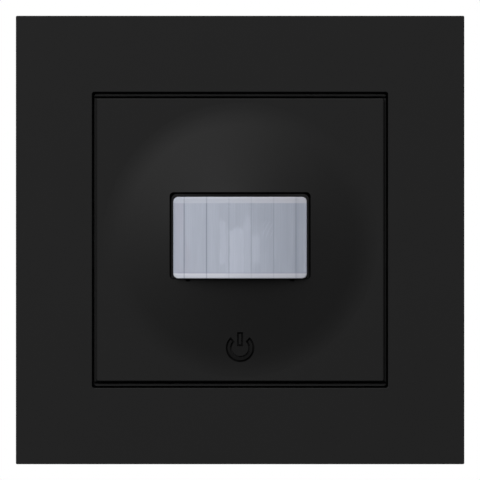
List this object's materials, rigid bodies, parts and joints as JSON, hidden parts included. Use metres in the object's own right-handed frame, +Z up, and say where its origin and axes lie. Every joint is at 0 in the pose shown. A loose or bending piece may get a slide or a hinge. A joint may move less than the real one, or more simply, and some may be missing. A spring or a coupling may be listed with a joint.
{
  "type": "motion sensor light switch",
  "caption": "Flush wall switch that turns a light on by movement, with a square frame, a push cover on a shallow cone and a lens in its window.",
  "frame": {"origin": "middle of the support ring's back face, in the wall's plane", "axes": "+X to the right as seen from the room, +Y into the wall, +Z up"},
  "size_m": [0.084, 0.0421, 0.084],
  "materials": {
    "frame_plastic": "fine matt black",
    "cover_plastic": "fine matt black",
    "bezel_plastic": "satin black",
    "housing_plastic": "matt black",
    "lens_plastic": "milky, faintly blue polyethylene",
    "plate_plastic": "dark grey moulded",
    "insert_plastic": "light grey moulded",
    "steel": "zinc plated",
    "spring_steel": "bright drawn wire",
    "brass": "nickel free brass",
    "circuit_board": "green solder mask",
    "chip_resin": "moulded resin",
    "sensor_metal": "plated can",
    "sensor_filter": "dark filter",
    "clear_resin": "clear resin",
    "contact_gold": "gold plated",
    "dial_plastic": "white",
    "switch_plastic": "black",
    "relay_plastic": "blue",
    "capacitor_sleeve": "dark sleeve",
    "line_capacitor_plastic": "yellow box",
    "varistor_epoxy": "blue epoxy",
    "ferrite": "dark ferrite",
    "terminal_plastic": "grey moulded"
  },
  "bodies": {
    "base": {"cover_frame": "frame_plastic", "lens": "lens_plastic", "lens_bezel": "bezel_plastic", "module_housing": "housing_plastic", "module_back_plate": "plate_plastic", "module_screws": "steel", "return_springs": "spring_steel", "sensor_board": "circuit_board", "heat_sensor_can": "sensor_metal", "heat_sensor_filter": "sensor_filter", "heat_sensor_element": "chip_resin", "heat_sensor_leads": "contact_gold", "light_sensor": "clear_resin", "status_lamp": "clear_resin", "push_switch_body": "switch_plastic", "dial_cases": "switch_plastic", "control_chip": "chip_resin", "small_board_parts": "chip_resin", "header_block": "switch_plastic", "header_pins": "contact_gold", "support_ring": "steel", "ring_screws": "steel", "insert_housing": "insert_plastic", "insert_lid": "insert_plastic", "power_board": "circuit_board", "header_socket": "switch_plastic", "relay": "relay_plastic", "electrolytic_capacitor": "capacitor_sleeve", "line_capacitor": "line_capacitor_plastic", "fuse": "chip_resin", "choke": "ferrite", "varistor": "varistor_epoxy", "rectifier": "chip_resin", "supply_chip": "chip_resin", "terminal_block": "terminal_plastic", "contact_strip_line": "brass", "contact_strip_neutral": "brass", "contact_strip_load": "brass"},
    "push_cover": {"push_cover": "cover_plastic"},
    "push_switch_plunger": {"push_switch_plunger": "dial_plastic"},
    "time_dial": {"time_dial": "dial_plastic"},
    "light_level_dial": {"light_level_dial": "dial_plastic"},
    "clamp_cage_line": {"clamp_cage_line": "steel"},
    "terminal_screw_line": {"terminal_screw_line": "steel"},
    "clamp_cage_neutral": {"clamp_cage_neutral": "steel"},
    "terminal_screw_neutral": {"terminal_screw_neutral": "steel"},
    "clamp_cage_load": {"clamp_cage_load": "steel"},
    "terminal_screw_load": {"terminal_screw_load": "steel"}
  },
  "joints": [
    {"name": "cover_press", "type": "hinge", "parent": "base", "child": "push_cover", "pos_m": [0, -0.0063, 0.0235], "axis": [1, 0, 0], "range_deg": [0, 1.2], "stiffness_Nm_per_rad": 0.7, "springref_deg": -1.72, "deforming": ["return_springs"]},
    {"name": "plunger_slide", "type": "slide", "parent": "base", "child": "push_switch_plunger", "axis": [0, 1, 0], "range_m": [0, 0.00092]},
    {"name": "time_dial_turn", "type": "hinge", "parent": "base", "child": "time_dial", "pos_m": [-0.0193, -0.006, 0.00043], "axis": [0, 1, 0], "range_deg": [-135, 135]},
    {"name": "light_level_dial_turn", "type": "hinge", "parent": "base", "child": "light_level_dial", "pos_m": [0.0193, -0.006, 0.00043], "axis": [0, 1, 0], "range_deg": [-135, 135]},
    {"name": "terminal_screw_turn_line", "type": "hinge", "parent": "base", "child": "terminal_screw_line", "pos_m": [-0.0076, 0.02155, -0.0225], "axis": [0, 0, 1], "range_deg": [0, 1800]},
    {"name": "clamp_cage_slide_line", "type": "slide", "parent": "base", "child": "clamp_cage_line", "axis": [0, 0, -1], "range_m": [0, 0.0025]},
    {"name": "terminal_screw_turn_neutral", "type": "hinge", "parent": "base", "child": "terminal_screw_neutral", "pos_m": [0, 0.02155, -0.0225], "axis": [0, 0, 1], "range_deg": [0, 1800]},
    {"name": "clamp_cage_slide_neutral", "type": "slide", "parent": "base", "child": "clamp_cage_neutral", "axis": [0, 0, -1], "range_m": [0, 0.0025]},
    {"name": "terminal_screw_turn_load", "type": "hinge", "parent": "base", "child": "terminal_screw_load", "pos_m": [0.0076, 0.02155, -0.0225], "axis": [0, 0, 1], "range_deg": [0, 1800]},
    {"name": "clamp_cage_slide_load", "type": "slide", "parent": "base", "child": "clamp_cage_load", "axis": [0, 0, -1], "range_m": [0, 0.0025]}
  ],
  "couplings": [
    {"joint": "plunger_slide", "follows": "cover_press", "m_per_rad": 0.0437},
    {"joint": "terminal_screw_turn_line", "follows": "clamp_cage_slide_line", "rad_per_m": 12566},
    {"joint": "terminal_screw_turn_neutral", "follows": "clamp_cage_slide_neutral", "rad_per_m": 12566},
    {"joint": "terminal_screw_turn_load", "follows": "clamp_cage_slide_load", "rad_per_m": 12566}
  ]
}
